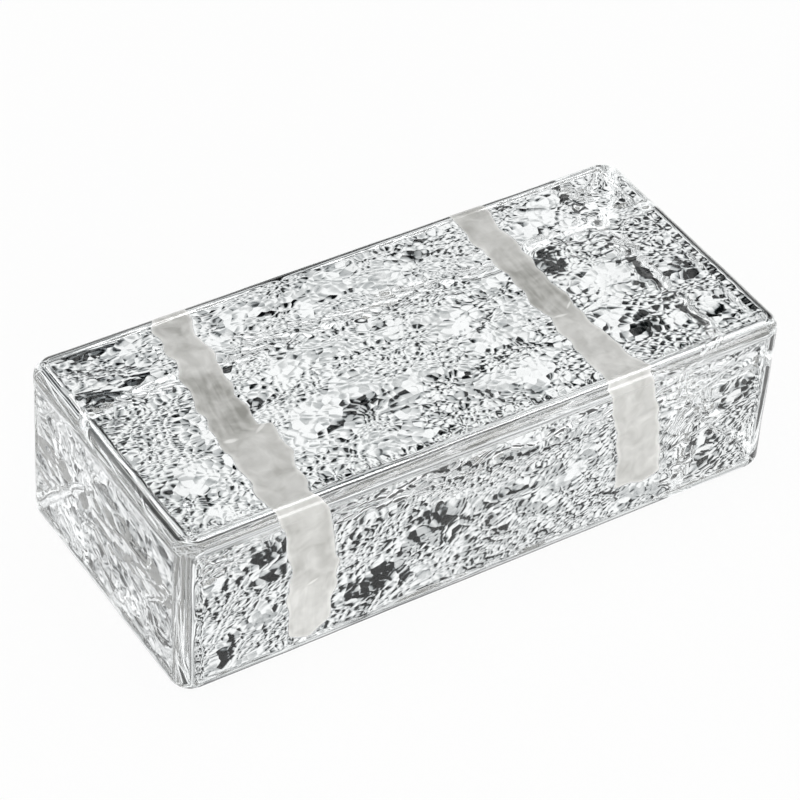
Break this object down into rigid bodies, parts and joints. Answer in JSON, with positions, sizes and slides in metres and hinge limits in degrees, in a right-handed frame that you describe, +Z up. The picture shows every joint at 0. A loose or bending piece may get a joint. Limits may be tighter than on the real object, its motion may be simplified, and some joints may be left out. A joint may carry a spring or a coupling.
{
  "type": "solid glass brick",
  "caption": "Solid clear cast glass brick with rippled faces, rounded fire-polished edges and pale frosted cross bands, laid in walls and screens that pass light.",
  "frame": {"origin": "middle of the bed, the face the brick lies on", "axes": "+X along the length, +Y across the width, +Z up from the bed to the top"},
  "size_m": [0.203, 0.092, 0.057],
  "materials": {
    "glass": "clear cast glass, rippled faces, glossy"
  },
  "bodies": {
    "root": {"brick": "glass"}
  },
  "joints": []
}
